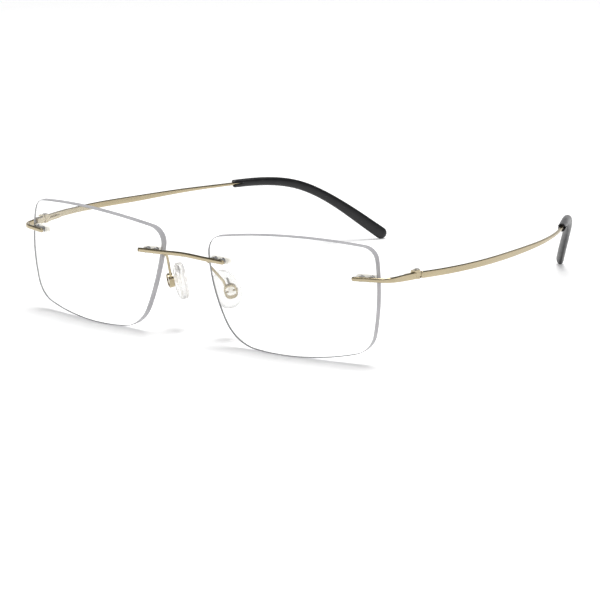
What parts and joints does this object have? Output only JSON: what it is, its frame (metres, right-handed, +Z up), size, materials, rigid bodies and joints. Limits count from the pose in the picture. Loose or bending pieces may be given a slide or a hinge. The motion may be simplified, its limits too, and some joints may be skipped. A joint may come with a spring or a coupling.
{
  "type": "eyeglasses",
  "caption": "Rimless eyeglasses with drilled rectangular lenses, slim folding temples, curved ear tips and rocking nose pads.",
  "frame": {"origin": "middle of the footprint on the surface that the glasses stand on, between the lens bottoms and the ear tips", "axes": "+X towards the wearer's left, +Y back along the open temples towards the ears, +Z up"},
  "size_m": [0.1432, 0.1542, 0.0344],
  "materials": {
    "lens": "clear polished plastic with matt ground edges",
    "gold_titanium": "pale champagne gold, satin",
    "screw_steel": "darker turned metal",
    "clear_sleeve": "translucent clear plastic",
    "black_tip": "satin black moulded acetate",
    "clear_silicone": "clear silicone",
    "pad_core": "clear hard plastic core"
  },
  "bodies": {
    "front": {"bridge": "gold_titanium", "bridge_pins_left": "gold_titanium", "bridge_pins_right": "gold_titanium", "endpiece_left": "gold_titanium", "endpiece_pins_left": "gold_titanium", "endpiece_pins_right": "gold_titanium", "endpiece_right": "gold_titanium", "front_hinge_left": "gold_titanium", "front_hinge_right": "gold_titanium", "hinge_screw_left": "screw_steel", "hinge_screw_right": "screw_steel", "lens_left": "lens", "lens_right": "lens", "lens_sleeve_nasal_left": "clear_sleeve", "lens_sleeve_nasal_right": "clear_sleeve", "lens_sleeve_temporal_left": "clear_sleeve", "lens_sleeve_temporal_right": "clear_sleeve", "pad_arm_left": "gold_titanium", "pad_arm_right": "gold_titanium", "pad_pin_left": "screw_steel", "pad_pin_right": "screw_steel", "pad_ring_left": "gold_titanium", "pad_ring_right": "gold_titanium"},
    "left_temple": {"temple_hinge_left": "gold_titanium", "temple_left": "gold_titanium", "temple_tip_left": "black_tip"},
    "right_temple": {"temple_hinge_right": "gold_titanium", "temple_right": "gold_titanium", "temple_tip_right": "black_tip"},
    "left_pad": {"nose_pad_left": "clear_silicone", "pad_insert_left": "pad_core"},
    "right_pad": {"nose_pad_right": "clear_silicone", "pad_insert_right": "pad_core"}
  },
  "joints": [
    {"name": "left_temple_fold", "type": "hinge", "parent": "front", "child": "left_temple", "pos_m": [0.06661, -0.0573, 0.02452], "axis": [0, 0, 1], "range_deg": [0, 78]},
    {"name": "right_temple_fold", "type": "hinge", "parent": "front", "child": "right_temple", "pos_m": [-0.06661, -0.0573, 0.02452], "axis": [0, 0, -1], "range_deg": [0, 70]},
    {"name": "left_pad_rock", "type": "hinge", "parent": "front", "child": "left_pad", "pos_m": [0.01123, -0.06729, 0.01464], "axis": [0.7801, 0.5462, 0.305], "range_deg": [-5, 5]},
    {"name": "right_pad_rock", "type": "hinge", "parent": "front", "child": "right_pad", "pos_m": [-0.01123, -0.06729, 0.01464], "axis": [0.7801, -0.5462, -0.305], "range_deg": [-5, 5]}
  ]
}
